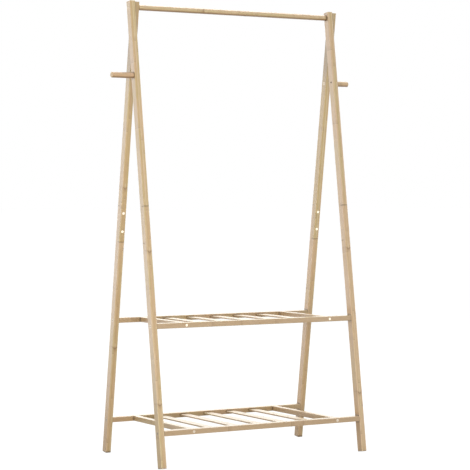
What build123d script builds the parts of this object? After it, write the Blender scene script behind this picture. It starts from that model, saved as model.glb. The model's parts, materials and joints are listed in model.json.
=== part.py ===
from build123d import *
import os
from math import atan, cos, sin, tan

os.makedirs("parts", exist_ok=True)

# A freestanding bamboo clothes rack: two end frames of crossed legs, a hanging rod, two side pegs
# and two slatted shelves, held together by countersunk bolts. The origin is on the floor in the
# middle of the rack, +X runs to the right seen from the front, and -Y is the front. The rack looks
# the same after a half turn about Z. All sizes are in millimetres.

# Whole rack
overall_height = 1500.0     # floor to the highest corner of the legs
frame_spacing = 768.0       # between the middle planes of the two end frames
foot_spread = 430.6         # between the front and rear leg axes at floor level
rod_drop = 21.0             # from the top of the legs down to the rod's axis
apex_rise = 33.0            # from the rod's axis up to where the leg axes cross in side view
peg_drop = 224.0            # from the rod's axis down to the pegs' axes

# Legs
leg_width = 19.0            # along X
leg_depth = 26.0            # square to the leg, front to rear
edge_round = 1.6            # long edges of legs, rails and bars
end_bevel = 0.8             # edges of every cut end

# Half-lap joint between the lower and upper section of each leg
lower_length = 838.5        # lower section, foot to the end of its tongue
lap_length = 119.0
lap_bolt_pitch = 61.0
lap_bolt_shift = 6.0        # the bolt pair sits this far above the middle of the lap

# Round parts
rod_diameter = 19.0
peg_diameter = 19.0
peg_length = 78.0
round_end_bevel = 1.0

# Shelves
shelf_levels = {"lower": 112.0, "upper": 450.0}     # middle of the rails above the floor
rail_height = 17.0
rail_depth = 26.0
end_bar_inset = 108.0       # from an end frame's middle plane to the end bar's middle
end_bar_width = 19.0
slat_count = 5
slat_width = 31.0
slat_thickness = 5.0
slat_drop = 5.5             # slat top below rail top
slat_tenon = 6.0            # depth of a slat's end in the rail
slat_round = 1.0

# Frame bolts: through the legs into threaded sleeves in the rod, rails and pegs
bolt_diameter = 6.0
bolt_head_rim = 2.25        # head radius less shank radius
bolt_socket = 4.0
sleeve_wall = 1.5
sleeve_length = 18.0
thread_reach = 16.0         # how far a bolt's tip enters its sleeve

# Lap bolts: through the inner half of a leg into sleeves in the outer half
lap_bolt_diameter = 5.0
lap_head_rim = 1.75
lap_socket = 3.0
lap_sleeve_wall = 1.25
lap_sleeve_length = 9.0
lap_thread_reach = 8.0

# End bar screws: through a rail into the end of an end bar
screw_diameter = 4.0
screw_head_rim = 2.0
screw_socket = 2.5
screw_bite = 24.0           # length inside the end bar

hole_clearance = 0.25       # radial, around every shank
socket_depth_share = 0.45   # hex recess depth as a share of the head's radius

# Sizes that follow
rod_height = overall_height - rod_drop
peg_height = rod_height - peg_drop
apex_height = rod_height + apex_rise
lean = atan(foot_spread / 2 / apex_height)
foot_lift = (leg_depth / 2 - end_bevel) * sin(lean)
leg_length = (overall_height - 2 * foot_lift) / cos(lean)
lap_start = lower_length - lap_length
lap_bolt_stations = [
    lap_start + lap_length / 2 + lap_bolt_shift + half * lap_bolt_pitch / 2 for half in (-1, 1)
]
inner_face = frame_spacing / 2 - leg_width          # |X| of the legs' faces towards the rod
middle_face = frame_spacing / 2                     # |X| where the two crossed legs touch
outer_face = frame_spacing / 2 + leg_width          # |X| of the legs' faces towards the pegs
end_bar_x = frame_spacing / 2 - end_bar_inset
slat_pitch = 2 * end_bar_x / (slat_count + 1)

LEFT, RIGHT = -1, 1
FRONT, REAR = -1, 1
# In each end frame the front leg stands to the left of the rear leg.
legs = {
    "front_left": (LEFT, FRONT),
    "rear_left": (LEFT, REAR),
    "front_right": (RIGHT, FRONT),
    "rear_right": (RIGHT, REAR),
}
rows = {"front": FRONT, "rear": REAR}
shelf_rows = [(shelf, row) for shelf in shelf_levels for row in rows.values()]


def leg_x(end, row):
    """X of a leg's middle plane."""
    return end * frame_spacing / 2 + row * leg_width / 2


def leg_y(row, z):
    """Y of a leg's axis at a height."""
    return row * foot_spread / 2 * (1 - z / apex_height)


def is_outer(end, row):
    """True for the leg of an end frame that is further from the middle of the rack."""
    return end == row


def foot_plane(end, row):
    """Workplane on a leg's square-cut foot: Z runs up the leg and X along the rack."""
    origin = (leg_x(end, row), leg_y(row, foot_lift), foot_lift)
    return Plane(origin=origin, x_dir=(1, 0, 0), z_dir=(0, -row * sin(lean), cos(lean)))


def cross_plane(x, y, z, facing):
    """Workplane square to the rack's length, facing left (-1) or right (1)."""
    return Plane(origin=(x, y, z), x_dir=(0, 1, 0), z_dir=(facing, 0, 0))


def lap_plane(end, row, station, depth):
    """Workplane facing the middle of the rack, at a depth below a leg's inner face."""
    foot = foot_plane(end, row)
    point = foot.from_local_coords((0, -row * (leg_depth / 2 - depth), station))
    return Plane(origin=point, x_dir=foot.x_dir, z_dir=foot.y_dir * -row)


def finish(part, name):
    """Label a finished piece and write it out."""
    part.label = name
    export_step(part, f"parts/{name}.step")


# ---------------------------------------------------------------- legs

def lower_leg(name, end, row):
    """Lower leg section: its tongue is the outer half of the lap."""
    foot = foot_plane(end, row)
    with BuildPart() as section:
        with BuildSketch(foot):
            Rectangle(leg_width, leg_depth)
        extrude(amount=lower_length)
        fillet(section.edges().filter_by(Axis(foot.origin, foot.z_dir)), edge_round)
        with BuildSketch(foot.offset(lap_start)):
            with Locations((0, -row * leg_depth / 4)):
                Rectangle(leg_width, leg_depth / 2)
        extrude(amount=lap_length, mode=Mode.SUBTRACT)
        ends = section.faces().sort_by(Axis(foot.origin, foot.z_dir))
        chamfer(ends[0].edges() + ends[-1].edges(), end_bevel)
        for level in shelf_levels.values():
            outboard_x = leg_x(end, row) + end * leg_width / 2
            with Locations(cross_plane(outboard_x, leg_y(row, level), level, end)):
                CounterSinkHole(
                    bolt_diameter / 2 + hole_clearance,
                    bolt_diameter / 2 + bolt_head_rim,
                    depth=leg_width,
                    counter_sink_angle=90,
                )
        for station in lap_bolt_stations:
            with Locations(lap_plane(end, row, station, leg_depth / 2)):
                Hole(lap_bolt_diameter / 2 + lap_sleeve_wall, depth=lap_sleeve_length)
    finish(section.part, name)


def upper_leg(name, end, row):
    """Upper leg section: its tongue is the inner half of the lap."""
    foot = foot_plane(end, row)
    with BuildPart() as section:
        with BuildSketch(foot.offset(lap_start)):
            Rectangle(leg_width, leg_depth)
        extrude(amount=leg_length - lap_start)
        fillet(section.edges().filter_by(Axis(foot.origin, foot.z_dir)), edge_round)
        with BuildSketch(foot.offset(lap_start)):
            with Locations((0, row * leg_depth / 4)):
                Rectangle(leg_width, leg_depth / 2)
        extrude(amount=lap_length, mode=Mode.SUBTRACT)
        ends = section.faces().sort_by(Axis(foot.origin, foot.z_dir))
        chamfer(ends[0].edges() + ends[-1].edges(), end_bevel)
        if is_outer(end, row):
            # The rod's bolt enters from outboard and the peg's bolt from inboard.
            with Locations(
                cross_plane(end * outer_face, 0, rod_height, end),
                cross_plane(end * middle_face, leg_y(row, peg_height), peg_height, -end),
            ):
                CounterSinkHole(
                    bolt_diameter / 2 + hole_clearance,
                    bolt_diameter / 2 + bolt_head_rim,
                    depth=leg_width,
                    counter_sink_angle=90,
                )
        else:
            with Locations(
                cross_plane(end * middle_face, 0, rod_height, end),
                cross_plane(end * middle_face, leg_y(row, peg_height), peg_height, end),
            ):
                Hole(bolt_diameter / 2 + hole_clearance, depth=leg_width)
        for station in lap_bolt_stations:
            with Locations(lap_plane(end, row, station, 0)):
                CounterSinkHole(
                    lap_bolt_diameter / 2 + hole_clearance,
                    lap_bolt_diameter / 2 + lap_head_rim,
                    depth=leg_depth / 2,
                    counter_sink_angle=90,
                )
    finish(section.part, name)


for corner, (end, row) in legs.items():
    lower_leg(f"leg_lower_{corner}", end, row)
    upper_leg(f"leg_upper_{corner}", end, row)


# ---------------------------------------------------------------- hanging rod and pegs

sleeve_radius = bolt_diameter / 2 + sleeve_wall
rod_mouths = [cross_plane(end * inner_face, 0, rod_height, end) for end in (LEFT, RIGHT)]
peg_mouths = [
    cross_plane(end * outer_face, leg_y(end, peg_height), peg_height, -end) for end in (LEFT, RIGHT)
]

with BuildPart() as hanging_rod:
    with BuildSketch(Plane.YZ.offset(-inner_face)):
        with Locations((0, rod_height)):
            Circle(rod_diameter / 2)
    extrude(amount=2 * inner_face)
    chamfer(hanging_rod.edges().filter_by(GeomType.CIRCLE), end_bevel)
    with Locations(*rod_mouths):
        Hole(sleeve_radius, depth=sleeve_length)
finish(hanging_rod.part, "hanging_rod")

for name, mouth in zip(("peg_left", "peg_right"), peg_mouths):
    with BuildPart() as peg:
        with BuildSketch(mouth):
            Circle(peg_diameter / 2)
        extrude(amount=-peg_length)
        free_end = peg.faces().sort_by(Axis(mouth.origin, mouth.z_dir))[0]
        chamfer(free_end.edges(), round_end_bevel)
        with Locations(mouth):
            Hole(sleeve_radius, depth=sleeve_length)
    finish(peg.part, name)


# ---------------------------------------------------------------- shelves

def rail_span(row):
    """X of a rail's left and right ends, between the two legs it joins."""
    return leg_x(LEFT, row) + leg_width / 2, leg_x(RIGHT, row) - leg_width / 2


def rail_mouths(shelf, row):
    """Workplanes on a rail's two end faces, facing out of the wood."""
    level = shelf_levels[shelf]
    left_x, right_x = rail_span(row)
    y = leg_y(row, level)
    return [cross_plane(left_x, y, level, LEFT), cross_plane(right_x, y, level, RIGHT)]


def end_bar_screw_heads(shelf, row):
    """Workplanes on a rail's outer face, one in front of each end bar."""
    level = shelf_levels[shelf]
    face_y = leg_y(row, level) + row * rail_depth / 2
    return [
        Plane(origin=(end * end_bar_x, face_y, level), x_dir=(1, 0, 0), z_dir=(0, row, 0))
        for end in (LEFT, RIGHT)
    ]


def rail_gap(shelf):
    """Clear distance between the front and rear rails of a shelf."""
    return 2 * leg_y(REAR, shelf_levels[shelf]) - rail_depth


def shelf_rail(name, shelf, row):
    """Long rail with mortises for the slats on its inner face."""
    level = shelf_levels[shelf]
    left_x, right_x = rail_span(row)
    with BuildPart() as rail:
        with BuildSketch(Plane.YZ.offset(left_x)):
            with Locations((leg_y(row, level), level)):
                Rectangle(rail_depth, rail_height)
        extrude(amount=right_x - left_x)
        fillet(rail.edges().filter_by(Axis.X), edge_round)
        chamfer(rail.faces().filter_by(Axis.X).edges(), end_bevel)
        slat_z = level + rail_height / 2 - slat_drop - slat_thickness / 2
        inner_y = row * rail_gap(shelf) / 2
        with BuildSketch(Plane(origin=(0, inner_y, slat_z), x_dir=(1, 0, 0), z_dir=(0, row, 0))):
            with GridLocations(slat_pitch, 0, slat_count, 1):
                Rectangle(slat_width, slat_thickness)
        extrude(amount=slat_tenon, mode=Mode.SUBTRACT)
        with Locations(*rail_mouths(shelf, row)):
            Hole(sleeve_radius, depth=sleeve_length)
        with Locations(*end_bar_screw_heads(shelf, row)):
            CounterSinkHole(
                screw_diameter / 2 + hole_clearance,
                screw_diameter / 2 + screw_head_rim,
                depth=rail_depth,
                counter_sink_angle=90,
            )
    finish(rail.part, name)


def end_bar(name, shelf, end):
    """Cross bar that ties the two rails of a shelf together."""
    level = shelf_levels[shelf]
    gap = rail_gap(shelf)
    with BuildPart() as bar:
        with BuildSketch(Plane.XZ.offset(-gap / 2)):
            with Locations((end * end_bar_x, level)):
                Rectangle(end_bar_width, rail_height)
        extrude(amount=gap)
        fillet(bar.edges().filter_by(Axis.Y), edge_round)
        for face_y, facing in ((-gap / 2, -1), (gap / 2, 1)):
            mouth = Plane(origin=(end * end_bar_x, face_y, level), x_dir=(1, 0, 0), z_dir=(0, facing, 0))
            with Locations(mouth):
                Hole(screw_diameter / 2, depth=screw_bite)
    finish(bar.part, name)


def slat(name, shelf, x):
    """Thin slat with both ends let into the rails."""
    length = rail_gap(shelf) + 2 * slat_tenon
    slat_z = shelf_levels[shelf] + rail_height / 2 - slat_drop - slat_thickness / 2
    with BuildPart() as strip:
        with BuildSketch(Plane.XZ.offset(-length / 2)):
            with Locations((x, slat_z)):
                RectangleRounded(slat_width, slat_thickness, slat_round)
        extrude(amount=length)
    finish(strip.part, name)


for shelf in shelf_levels:
    for row_name, row in rows.items():
        shelf_rail(f"{shelf}_shelf_{row_name}_rail", shelf, row)
    end_bar(f"{shelf}_shelf_end_bar_left", shelf, LEFT)
    end_bar(f"{shelf}_shelf_end_bar_right", shelf, RIGHT)
    for number in range(slat_count):
        x = (number - (slat_count - 1) / 2) * slat_pitch
        slat(f"{shelf}_shelf_slat_{number + 1}", shelf, x)


# ---------------------------------------------------------------- fasteners

def bolt_set(name, heads, diameter, head_rim, length, socket):
    """Identical countersunk bolts. Each plane lies on a head's flat top and faces away from the bolt."""
    shank_radius = diameter / 2
    head_radius = shank_radius + head_rim
    on_top = (Align.CENTER, Align.CENTER, Align.MAX)
    with BuildPart() as bolts:
        with Locations(*heads):
            Cylinder(shank_radius, length, align=on_top)
            Cone(shank_radius, head_radius, head_rim, align=on_top)
        with BuildSketch(*heads):
            RegularPolygon(socket / 2, 6, major_radius=False)
        extrude(amount=-head_radius * socket_depth_share, mode=Mode.SUBTRACT)
    finish(bolts.part, name)


def sleeve_set(name, mouths, diameter, wall, length):
    """Identical threaded sleeves, flush with the wood at each plane."""
    with BuildPart() as sleeves:
        with BuildSketch(*mouths):
            Circle(diameter / 2 + wall)
            Circle(diameter / 2, mode=Mode.SUBTRACT)
        extrude(amount=-length)
    finish(sleeves.part, name)


rod_bolt_heads = [cross_plane(end * outer_face, 0, rod_height, end) for end in (LEFT, RIGHT)]
peg_bolt_heads = [
    cross_plane(end * middle_face, leg_y(end, peg_height), peg_height, -end) for end in (LEFT, RIGHT)
]
all_rail_mouths = [mouth for shelf, row in shelf_rows for mouth in rail_mouths(shelf, row)]
rail_bolt_heads = [mouth.offset(leg_width) for mouth in all_rail_mouths]
screw_heads = [head for shelf, row in shelf_rows for head in end_bar_screw_heads(shelf, row)]
lap_heads = [
    lap_plane(end, row, station, 0) for end, row in legs.values() for station in lap_bolt_stations
]
lap_mouths = [
    lap_plane(end, row, station, leg_depth / 2)
    for end, row in legs.values() for station in lap_bolt_stations
]

bolt_set("rod_bolts", rod_bolt_heads, bolt_diameter, bolt_head_rim,
         2 * leg_width + thread_reach, bolt_socket)
bolt_set("peg_bolts", peg_bolt_heads, bolt_diameter, bolt_head_rim,
         leg_width + thread_reach, bolt_socket)
bolt_set("rail_bolts", rail_bolt_heads, bolt_diameter, bolt_head_rim,
         leg_width + thread_reach, bolt_socket)
bolt_set("lap_bolts", lap_heads, lap_bolt_diameter, lap_head_rim,
         leg_depth / 2 + lap_thread_reach, lap_socket)
bolt_set("end_bar_screws", screw_heads, screw_diameter, screw_head_rim,
         rail_depth + screw_bite, screw_socket)

sleeve_set("rod_sleeves", rod_mouths, bolt_diameter, sleeve_wall, sleeve_length)
sleeve_set("peg_sleeves", peg_mouths, bolt_diameter, sleeve_wall, sleeve_length)
sleeve_set("rail_sleeves", all_rail_mouths, bolt_diameter, sleeve_wall, sleeve_length)
sleeve_set("lap_sleeves", lap_mouths, lap_bolt_diameter, lap_sleeve_wall, lap_sleeve_length)
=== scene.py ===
import json
import math
from collections import namedtuple

import bmesh
import bpy
from mathutils import Matrix, Vector


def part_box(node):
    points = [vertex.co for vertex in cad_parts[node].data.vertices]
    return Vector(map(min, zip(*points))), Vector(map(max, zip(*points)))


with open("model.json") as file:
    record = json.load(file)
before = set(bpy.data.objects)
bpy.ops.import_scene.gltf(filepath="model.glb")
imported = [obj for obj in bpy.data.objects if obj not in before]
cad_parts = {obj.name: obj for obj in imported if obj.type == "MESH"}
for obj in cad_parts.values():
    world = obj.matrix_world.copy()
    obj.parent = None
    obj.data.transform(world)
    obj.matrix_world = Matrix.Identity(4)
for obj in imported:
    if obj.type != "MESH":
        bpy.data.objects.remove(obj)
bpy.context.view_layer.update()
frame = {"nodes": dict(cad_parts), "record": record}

# A bamboo clothes rack. Every shown piece is a CAD node with a procedural material.
# Lengths are in metres, and the bamboo works in millimetres along each piece's own grain.

# ---------------------------------------------------------------- the rack's driving sizes

FOOT_SPREAD = 0.4306        # between the front and rear leg axes at floor level
APEX_HEIGHT = 1.512         # where the leg axes cross in side view
LEG_DEPTH = 0.026
LEAN = math.atan2(FOOT_SPREAD / 2, APEX_HEIGHT)
MM = 1000.0                 # millimetres in a metre
LAP_ENDS = (721.2, 840.2)   # of the half-lap, in millimetres up a leg
ROUND_PIECES = ("hanging_rod", "peg_")


# ---------------------------------------------------------------- camera

def make_camera():
    """Eye-level view from the front left through a long lens."""
    data = bpy.data.cameras.new("camera")
    data.sensor_width = 36.0
    data.lens = 139.96
    data.clip_end = 100.0
    camera = bpy.data.objects.new("camera", data)
    camera.location = (-3.1385, -5.2925, 0.8878)
    camera.rotation_euler = (math.radians(88.56), 0.0, math.radians(-30.683))
    bpy.context.scene.collection.objects.link(camera)
    bpy.context.scene.camera = camera


# ---------------------------------------------------------------- shader helpers

class Shader:
    """Adds nodes to one material. Arguments may be sockets or plain numbers."""

    def __init__(self, name):
        self.material = bpy.data.materials.new(name)
        self.material.use_nodes = True
        self.nodes = self.material.node_tree.nodes
        self.links = self.material.node_tree.links
        self.surface = self.nodes["Principled BSDF"]

    def put(self, value, socket):
        """Link a socket, or set a plain value."""
        if isinstance(value, bpy.types.NodeSocket):
            self.links.new(value, socket)
        else:
            socket.default_value = value

    def set(self, **values):
        """Put values on the surface's own inputs, with _ for a space."""
        for key, value in values.items():
            self.put(value, self.surface.inputs[key.replace("_", " ")])

    def node(self, kind, inputs=(), **settings):
        made = self.nodes.new(kind)
        for key, value in settings.items():
            setattr(made, key, value)
        for key, value in dict(inputs).items():
            self.put(value, made.inputs[key])
        return made

    def maths(self, operation, *values):
        made = self.node("ShaderNodeMath", operation=operation)
        for socket, value in zip(made.inputs, values):
            self.put(value, socket)
        return made.outputs[0]

    def add(self, a, b):
        return self.maths("ADD", a, b)

    def less(self, a, b):
        return self.maths("SUBTRACT", a, b)

    def times(self, a, b):
        return self.maths("MULTIPLY", a, b)

    def size(self, a):
        return self.maths("ABSOLUTE", a)

    def larger(self, a, b):
        return self.maths("MAXIMUM", a, b)

    def swing(self, noise, reach):
        """A noise from 0 to 1 as a swing about zero."""
        return self.times(self.less(noise, 0.5), reach)

    def ramp(self, value, low, high, to_low=0.0, to_high=1.0):
        """Smooth step of a value between two limits."""
        made = self.node("ShaderNodeMapRange", interpolation_type="SMOOTHSTEP")
        for key, number in zip(("Value", "From Min", "From Max", "To Min", "To Max"),
                               (value, low, high, to_low, to_high)):
            self.put(number, made.inputs[key])
        return made.outputs["Result"]

    def fade(self, value, low, high):
        """Smooth step down from 1 to 0."""
        return self.ramp(value, low, high, 1.0, 0.0)

    def split(self, vector):
        return self.node("ShaderNodeSeparateXYZ", {"Vector": vector}).outputs

    def join(self, x, y, z):
        return self.node("ShaderNodeCombineXYZ", {"X": x, "Y": y, "Z": z}).outputs[0]

    def length(self, vector):
        made = self.node("ShaderNodeVectorMath", {0: vector}, operation="LENGTH")
        return made.outputs["Value"]

    def noise(self, vector, scale, detail=2.0, roughness=0.5):
        """Noise from 0 to 1."""
        inputs = {"Vector": vector, "Scale": scale, "Detail": detail, "Roughness": roughness}
        return self.node("ShaderNodeTexNoise", inputs).outputs["Fac"]

    def random(self, x, y=0.0, z=0.0):
        """Three steady random numbers for a cell."""
        cell = self.join(x, y, z)
        made = self.node("ShaderNodeTexWhiteNoise", {"Vector": cell}, noise_dimensions="3D")
        return self.split(made.outputs["Color"])

    def mix(self, factor, a, b):
        made = self.node("ShaderNodeMix", data_type="RGBA")
        for key, value in zip((0, 6, 7), (factor, a, b)):
            self.put(value, made.inputs[key])
        return made.outputs[2]

    def stain(self, colour, marks):
        """Lay marks over a colour in turn, each a mask, its share from 0 to 1 and its own colour."""
        for mask, share, own in marks:
            colour = self.mix(self.times(mask, share), colour, own)
        return colour

    def painted_shade_occlusion(self, distance):
        """Ambient occlusion for painted shade: 1 in the open, less in a gap narrower than the distance."""
        made = self.node("ShaderNodeAmbientOcclusion", {"Distance": distance}, samples=12)
        return made.outputs["AO"]

    def bump(self, height, strength, distance):
        inputs = {"Height": height, "Strength": strength, "Distance": distance}
        made = self.node("ShaderNodeBump", inputs)
        self.put(made.outputs["Normal"], self.surface.inputs["Normal"])


# ---------------------------------------------------------------- grain of a piece

# u, v and w run along the grain, across the strips and across both, in millimetres. half_v and
# half_w are half the piece's sizes along v and w, and along is the grain's direction.
Grain = namedtuple("Grain", "node seed u v w half_v half_w along")


def grain_frame(node):
    """A wood piece's own frame: origin, and unit axes along the grain, across the strips and across both."""
    low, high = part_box(node)
    size = high - low
    origin = (low + high) / 2
    if node.startswith("leg_"):
        row = -1 if "front" in node else 1
        along = Vector((0.0, -row * math.sin(LEAN), math.cos(LEAN)))
        across = Vector((1.0, 0.0, 0.0))
        origin = Vector((origin.x, row * FOOT_SPREAD / 2, 0.0))
        half = (size.x / 2, LEG_DEPTH / 2)
    else:
        longest_first = sorted(range(3), key=lambda axis: -size[axis])
        order = (0, 2, 1) if node.startswith(ROUND_PIECES) else longest_first
        axes = [Vector([float(axis == k) for k in range(3)]) for axis in order]
        along, across = axes[0], axes[1]
        half = (size[order[1]] / 2, size[order[2]] / 2)
    return origin, along, across, along.cross(across), half


def make_grain(s, node, seed):
    """Turn object coordinates into the piece's own grain frame."""
    origin, along, across, other, half = grain_frame(node)
    turn = Matrix((along, across, other))
    place = s.node("ShaderNodeMapping", {"Vector": s.node("ShaderNodeTexCoord").outputs["Object"]})
    place.inputs["Scale"].default_value = (MM, MM, MM)
    place.inputs["Rotation"].default_value = turn.to_euler()
    place.inputs["Location"].default_value = -(turn @ origin) * MM
    u, v, w = s.split(place.outputs[0])
    return Grain(node, seed, u, v, w, half[0] * MM, half[1] * MM, along)


# ---------------------------------------------------------------- how the pieces of bamboo differ

PALE = (0.75, 0.59, 0.36, 1.0)
HONEY = (0.55, 0.37, 0.15, 1.0)
BROWN = (0.26, 0.13, 0.05, 1.0)
# Colour of painted shade in narrow gaps and recesses
PAINTED_SHADE = (0.07, 0.035, 0.015, 1.0)
# Colour of the glue line at the half-lap and of painted shade where the legs cross
SEAM_AND_SHADE = (0.17, 0.10, 0.03, 1.0)
ROSE = (0.70, 0.44, 0.26, 1.0)
OLIVE = (0.58, 0.46, 0.18, 1.0)

LAMELLA = 6.4               # usual width of one glued strip, in millimetres
CULM_SPACING = 275.0        # between the culm joints of one strip, in millimetres

# Culm joints that cross a whole piece, in millimetres along its grain
JOINTS = {
    "leg_lower_front_left": (207.0, 697.0),
    "leg_lower_front_right": (203.0, 695.0),
    "leg_lower_rear_left": (366.0,),
    "leg_upper_rear_left": (905.0,),
    "hanging_rod": (-120.0,),
    "upper_shelf_front_rail": (-60.0,),
    "upper_shelf_rear_rail": (-310.0,),
    "lower_shelf_front_rail": (150.0,),
}

# Tones of the three strips of a piece, from 0 pale to 1 honey, where they aren't random
STRIPES = {
    "leg_upper_front_left": (0.95, 0.10, 0.55),
    "leg_upper_rear_left": (0.60, 0.90, 0.95),
    "leg_lower_front_left": (0.35, 0.75, 0.30),
    "leg_upper_front_right": (0.30, 0.90, 0.20),
    "leg_lower_rear_left": (0.45, 0.85, 0.35),
}

# How rosy (above 0) or olive (below 0) the whole of a piece is
TINTS = {
    "leg_lower_rear_left": 0.16,
    "leg_upper_rear_left": -0.16,
    "leg_lower_front_left": -0.08,
    "leg_lower_rear_right": 0.10,
    "leg_upper_front_left": 0.12,
    "lower_shelf_rear_rail": 0.30,
    "upper_shelf_rear_rail": 0.15,
    "lower_shelf_end_bar_left": -0.12,
    "hanging_rod": 0.10,
    "peg_left": 0.65,
    "peg_right": 0.15,
}

# How much of that tint shows on a piece, where it isn't the usual share
TINT_SHARE = 0.36
TINT_SHARES = {"peg_left": 0.60, "lower_shelf_rear_rail": 0.46}

# How much darker (above 0) or paler (below 0) the whole of a piece is
TONES = {
    "leg_lower_front_left": 0.08,
    "leg_upper_rear_left": 0.20,
    "leg_lower_front_right": -0.14,
    "leg_upper_front_right": -0.10,
    "upper_shelf_front_rail": -0.10,
    "upper_shelf_rear_rail": 0.15,
    "lower_shelf_front_rail": -0.30,
    "lower_shelf_end_bar_left": -0.45,
    "peg_left": 0.60,
    "peg_right": 0.30,
}


# ---------------------------------------------------------------- bamboo

def glued_strips(s, g):
    """Each strip's number, tone, tint and shift, and the seams between the strips."""
    count = max(1, round(2 * g.half_v / LAMELLA))
    width = 2 * g.half_v / count
    strip = s.maths("FLOOR", s.add(s.times(g.v, 1 / width), count / 2))
    tone, tint, shift = s.random(strip, g.seed)
    # Painted shade and light: the rod runs dark on its underside and pale on its top
    if g.node == "hanging_rod":
        tone = s.ramp(g.v, -7.0, 3.0, 0.90, 0.20)
    elif g.node in STRIPES:
        left, middle, right = STRIPES[g.node]
        second = s.ramp(strip, 0.4, 0.6, 0.0, middle - left)
        third = s.ramp(strip, 1.4, 1.6, 0.0, right - middle)
        tone = s.add(s.add(second, third), left)
    from_seam = s.maths("PINGPONG", s.add(g.v, g.half_v), width / 2)
    seam = s.fade(from_seam, 0.12, 0.50) if count > 1 else 0.0
    return strip, tone, tint, shift, seam


def strip_joints(s, g, strip, shift):
    """Line, pale glow and stain of the culm joints, which are staggered from strip to strip."""
    sway_place = s.join(s.times(g.v, 0.12), s.times(g.w, 0.12), g.seed)
    swayed = s.add(g.u, s.swing(s.noise(sway_place, 1.0), 6.0))
    turns = s.times(s.add(swayed, s.times(shift, 1000.0)), 1 / CULM_SPACING)
    jitter = s.random(s.maths("FLOOR", turns), strip, g.seed + 0.5)[0]
    centre = s.add(0.3, s.times(jitter, 0.4))
    reach = s.times(s.less(s.maths("FRACT", turns), centre), CULM_SPACING)
    distance = s.size(reach)
    line = s.fade(distance, 0.4, 1.9)
    glow = s.fade(distance, 1.5, 9.0)
    stain = s.times(s.ramp(reach, -1.0, 2.0), s.fade(reach, 4.0, 18.0))
    return line, glow, stain


def whole_joints(s, g):
    """Soft dark line, stain and pale eye of the culm joints that dip in a V across a piece."""
    line, stain, eye = 0.0, 0.0, 0.0
    side = s.size(g.v)
    dip = s.times(s.less(g.half_v, side), 0.7)
    middle = s.ramp(side, g.half_v * 0.4, g.half_v, 1.0, 0.35)
    for place in JOINTS.get(g.node, ()):
        reach = s.add(s.less(g.u, place), dip)
        line = s.larger(line, s.fade(s.size(reach), 0.4, 3.4))
        glow = s.times(s.ramp(reach, -16.0, -1.0), s.fade(reach, 0.0, 8.0))
        stain = s.larger(stain, glow)
        oval = s.join(s.times(s.less(g.u, place + 6.0), 0.13), s.times(g.v, 0.34), 0.0)
        eye = s.larger(eye, s.fade(s.length(oval), 0.5, 1.1))
    return s.times(line, middle), s.times(stain, middle), eye


def fibres(s, g, strip):
    """Long streaks, fine dashes, mottling, and slow drifts of tone and of hue."""
    row = s.add(s.times(strip, 37.0), g.seed * 11.0)

    def grainy(along, across, detail, roughness):
        """Noise stretched along the grain, different in each strip."""
        place = s.join(s.times(g.u, along), s.add(s.times(g.v, across), row), s.times(g.w, across))
        return s.noise(place, 1.0, detail, roughness)

    streak = grainy(0.007, 0.42, 4.0, 0.6)
    dash = grainy(0.05, 3.2, 3.0, 0.65)
    mottle = grainy(0.035, 0.25, 3.0, 0.6)
    drift = s.noise(s.join(s.times(g.u, 0.008), row, g.seed), 1.0, 1.0)
    hue = s.noise(s.join(s.times(g.u, 0.006), g.seed + 0.3, row), 1.0, 1.0)
    return streak, dash, mottle, drift, hue


def cut_grain(s, g):
    """Where a piece is cut across its grain, and the dots of fibre bundles that show there."""
    normal = s.node("ShaderNodeNewGeometry").outputs["Normal"]
    facing = s.node("ShaderNodeVectorMath", {0: normal, 1: g.along}, operation="DOT_PRODUCT")
    cut = s.ramp(s.size(facing.outputs["Value"]), 0.80, 0.95)
    bundles = s.node("ShaderNodeTexVoronoi", {"Vector": s.join(0.0, g.v, g.w), "Scale": 1.15})
    return cut, s.fade(bundles.outputs["Distance"], 0.12, 0.32)


def rubbed_edges(s, g, streak):
    """The eased long edges, where handling has made them paler."""
    v_edge = s.ramp(s.size(g.v), g.half_v - 2.0, g.half_v)
    w_edge = s.ramp(s.size(g.w), g.half_w - 2.0, g.half_w)
    return s.times(s.times(v_edge, w_edge), s.ramp(streak, 0.35, 0.65, 0.4, 1.0))


def crossing_shade(s, g):
    """Painted shade in the groove where the two legs of an end frame lie side by side near the top, and
    painted shadow over the top of each rear leg.
    """
    if not g.node.startswith("leg_upper_"):
        return 0.0
    front = "front" in g.node
    groove = s.ramp(s.times(g.v, 1.0 if front else -1.0), g.half_v - 2.4, g.half_v - 0.6)
    groove = s.times(groove, s.ramp(g.u, 1220.0, 1340.0, 0.0, 0.60))
    if front:
        return groove
    # Painted shadow over the top of a rear leg, where the front leg shades it
    return s.larger(groove, s.ramp(g.u, 1240.0, 1420.0, 0.0, 0.22))


def lap_seam(s, g):
    """Dark glue line around the half-lap of a leg."""
    if not g.node.startswith("leg_"):
        return 0.0
    start, end = LAP_ENDS
    inner = s.times(g.w, 1.0 if "front" in g.node else -1.0)
    low = s.times(s.fade(s.size(s.less(g.u, start)), 0.7, 2.2), s.ramp(inner, -0.6, -0.1))
    high = s.times(s.fade(s.size(s.less(g.u, end)), 0.7, 2.2), s.fade(inner, 0.1, 0.6))
    within = s.times(s.ramp(g.u, start - 1.0, start), s.fade(g.u, end, end + 1.0))
    middle = s.times(s.fade(s.size(g.w), 0.15, 0.7), within)
    return s.larger(s.larger(low, high), s.times(middle, 0.8))


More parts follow.
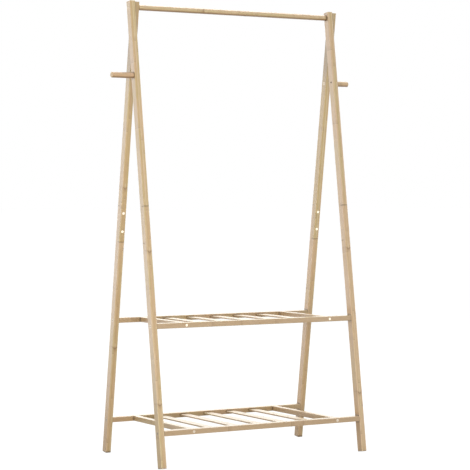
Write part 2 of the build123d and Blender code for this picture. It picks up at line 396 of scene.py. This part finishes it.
def bamboo(node, seed):
    """Laminated bamboo: glued strips with fine fibres, culm joints, dotted end grain and satin lacquer."""
    s = Shader(f"bamboo_{node}")
    g = make_grain(s, node, seed)
    strip, tone, tint, shift, seam = glued_strips(s, g)
    joint_line, joint_glow, joint_stain = strip_joints(s, g, strip, shift)
    line, stain, eye = whole_joints(s, g)
    streak, dash, mottle, drift, hue = fibres(s, g, strip)
    cut, dots = cut_grain(s, g)

    # The wood's own colour
    level = TONES.get(node, 0.0)
    for noise, reach in ((tone, 0.75), (streak, 1.70), (drift, 0.60), (mottle, 1.40)):
        level = s.add(level, s.swing(noise, reach))
    colour = s.mix(s.ramp(level, -0.70, 0.70), PALE, HONEY)
    rosiness = s.add(s.times(tint, 0.5), s.times(hue, 0.9))
    rosiness = s.add(rosiness, TINTS.get(node, 0.0) - 0.20)
    tinted = s.mix(s.ramp(rosiness, 0.30, 0.70), OLIVE, ROSE)
    colour = s.mix(TINT_SHARES.get(node, TINT_SHARE), colour, tinted)

    # Marks on it
    colour = s.stain(colour, (
        (s.ramp(dash, 0.58, 0.74), 0.55, BROWN),
        (joint_glow, 0.18, PALE),
        (joint_stain, 0.20, BROWN),
        (joint_line, 0.38, BROWN),
        (eye, 0.55, PALE),
        (stain, 0.38, BROWN),
        (line, 0.62, BROWN),
        (seam, 0.34, BROWN),
    ))
    # Painted shade: round pieces turn brown along their underside
    if node.startswith(ROUND_PIECES):
        colour = s.mix(s.ramp(g.v, -0.9 * g.half_v, -0.2 * g.half_v, 0.85, 0.0), colour, BROWN)
    end_colour = s.mix(s.times(dots, 0.55), HONEY, BROWN)

    # Wear, end grain, the glue line of the half-lap, and painted shade in narrow joints between pieces and
    # where the legs cross
    colour = s.stain(colour, (
        (cut, 0.85, end_colour),
        (rubbed_edges(s, g, streak), 0.25, PALE),
        # Painted shade: near-black where ambient occlusion finds a narrow gap between pieces
        (s.fade(s.painted_shade_occlusion(0.012), 0.34, 0.96), 0.94, PAINTED_SHADE),
        (lap_seam(s, g), 0.70, SEAM_AND_SHADE),
        # Painted shade where the legs cross, and painted shadow on a rear leg's top
        (crossing_shade(s, g), 1.0, SEAM_AND_SHADE),
    ))

    roughness = s.add(s.add(0.40, s.swing(streak, 0.20)), s.times(cut, 0.20))
    s.set(Base_Color=colour, Roughness=roughness)
    s.set(Specular_IOR_Level=0.5, Coat_Weight=0.8, Coat_Roughness=0.30)
    raised = s.add(s.times(dash, 0.5), s.times(streak, 0.6))
    sunk = s.add(s.times(seam, 0.5), s.times(joint_line, 0.4))
    s.bump(s.less(raised, sunk), 0.25, 0.0003)
    return s.material


# ---------------------------------------------------------------- metal

def metal(name, colour, roughness, scratch_scale):
    """Plated or turned metal with fine tool marks, slight tarnish and painted shade in its recesses."""
    s = Shader(name)
    place = s.node("ShaderNodeTexCoord").outputs["Object"]
    marks = s.noise(place, scratch_scale, 3.0, 0.7)
    tarnish = s.ramp(s.noise(place, 260.0), 0.40, 0.75, 0.0, 0.5)
    red, green, blue = colour
    tarnished = (red * 0.72, green * 0.70, blue * 0.66, 1.0)
    finish = s.mix(tarnish, (*colour, 1.0), tarnished)
    # Painted shade: darkened where ambient occlusion finds a recess
    finish = s.stain(finish, ((s.fade(s.painted_shade_occlusion(0.003), 0.10, 0.45), 0.85, PAINTED_SHADE),))
    s.set(Base_Color=finish, Roughness=s.add(roughness, s.swing(marks, 0.25)), Metallic=1.0)
    s.bump(marks, 0.15, 0.0001)
    return s.material


# ---------------------------------------------------------------- dress the CAD nodes

def dress():
    """Give every CAD node its material and its slot."""
    nickel = metal("nickel_plated_steel", (0.44, 0.38, 0.30), 0.32, 3000.0)
    bright = metal("bright_zinc_steel", (0.88, 0.79, 0.66), 0.28, 3000.0)
    brass = metal("turned_brass", (0.72, 0.56, 0.30), 0.35, 2500.0)
    by_slot = {"bolt_steel": nickel, "sleeve_brass": brass}
    by_node = {"end_bar_screws": bright, "lap_bolts": bright}
    slots = {part["node"]: part["material_slot"] for part in frame["record"]["subparts"]}
    for seed, name in enumerate(sorted(frame["nodes"])):
        piece = frame["nodes"][name]
        material = by_node.get(name) or by_slot.get(slots[name]) or bamboo(name, float(seed))
        piece.data.materials.clear()
        piece.data.materials.append(material)


# ---------------------------------------------------------------- studio

FILL = 0.34                 # surround brightness as fill light
SHINE = 1.7                 # surround brightness in reflections
MIDDLE = (0.0, 0.0, 0.75)   # of the rack, which every light faces

# Name, place, size in metres and power in watts of each soft light
LIGHTS = (
    ("top", (1.2, 1.0, 4.6), 2.5, 72.0),
    ("left", (-5.0, 0.2, 0.8), 3.0, 34.0),
    ("left_back", (-3.0, 4.3, 1.0), 3.0, 18.0),
    ("front", (-2.6, -4.2, 0.7), 2.0, 145.0),
    ("right", (5.0, 0.5, 1.8), 3.0, 60.0),
    ("back", (0.3, 5.0, 1.6), 3.0, 70.0),
)


def floor_paint():
    """White to the eye, dim as fill light, and brighter far out than near the rack in reflections."""
    s = Shader("floor_paint")
    s.set(Base_Color=(0.15, 0.15, 0.15, 1.0), Roughness=0.9, Specular_IOR_Level=0.0)
    s.set(Emission_Color=(1.0, 1.0, 1.0, 1.0), Emission_Strength=0.96)
    dim = s.node("ShaderNodeBsdfDiffuse", {"Color": (0.42, 0.41, 0.38, 1.0)})
    distance = s.length(s.node("ShaderNodeNewGeometry").outputs["Position"])
    glow = s.node("ShaderNodeEmission", {"Strength": s.ramp(distance, 0.8, 2.6, 0.70, 1.8)})
    rays = s.node("ShaderNodeLightPath").outputs

    def choose(ray, other, this):
        """One shader for a kind of ray, and another for the rest."""
        return s.node("ShaderNodeMixShader", {0: rays[ray], 1: other.outputs[0], 2: this.outputs[0]})

    unseen = choose("Is Glossy Ray", dim, glow)
    seen = choose("Is Camera Ray", unseen, s.surface)
    s.put(seen.outputs[0], s.nodes["Material Output"].inputs["Surface"])
    return s.material


def make_floor():
    """Wide pale floor."""
    mesh = bpy.data.meshes.new("floor")
    shape = bmesh.new()
    bmesh.ops.create_grid(shape, x_segments=1, y_segments=1, size=60.0)
    shape.to_mesh(mesh)
    shape.free()
    mesh.materials.append(floor_paint())
    floor = bpy.data.objects.new("floor", mesh)
    bpy.context.scene.collection.objects.link(floor)


def make_world():
    """White studio surround: pure white to the eye, brighter in reflections than as fill light."""
    world = bpy.data.worlds.new("studio")
    bpy.context.scene.world = world
    world.use_nodes = True
    nodes, links = world.node_tree.nodes, world.node_tree.links
    rays = nodes.new("ShaderNodeLightPath").outputs
    background = nodes["Background"].inputs
    background["Color"].default_value = (1.0, 1.0, 1.0, 1.0)
    gloss = nodes.new("ShaderNodeMapRange")
    gloss.inputs["To Min"].default_value = FILL
    gloss.inputs["To Max"].default_value = SHINE
    links.new(rays["Is Glossy Ray"], gloss.inputs["Value"])
    eye = nodes.new("ShaderNodeMix")
    eye.inputs["B"].default_value = 1.0
    links.new(rays["Is Camera Ray"], eye.inputs["Factor"])
    links.new(gloss.outputs["Result"], eye.inputs["A"])
    links.new(eye.outputs["Result"], background["Strength"])


def add_light(name, place, size, power):
    """Soft square light that faces the middle of the rack."""
    data = bpy.data.lights.new(name, "AREA")
    data.size = size
    data.energy = power
    light = bpy.data.objects.new(name, data)
    light.location = place
    light.rotation_euler = (Vector(MIDDLE) - Vector(place)).to_track_quat("-Z", "Y").to_euler()
    bpy.context.scene.collection.objects.link(light)


def make_studio():
    make_floor()
    make_world()
    for light in LIGHTS:
        add_light(*light)
    bpy.context.scene.view_settings.view_transform = "Standard"


make_camera()
dress()
make_studio()
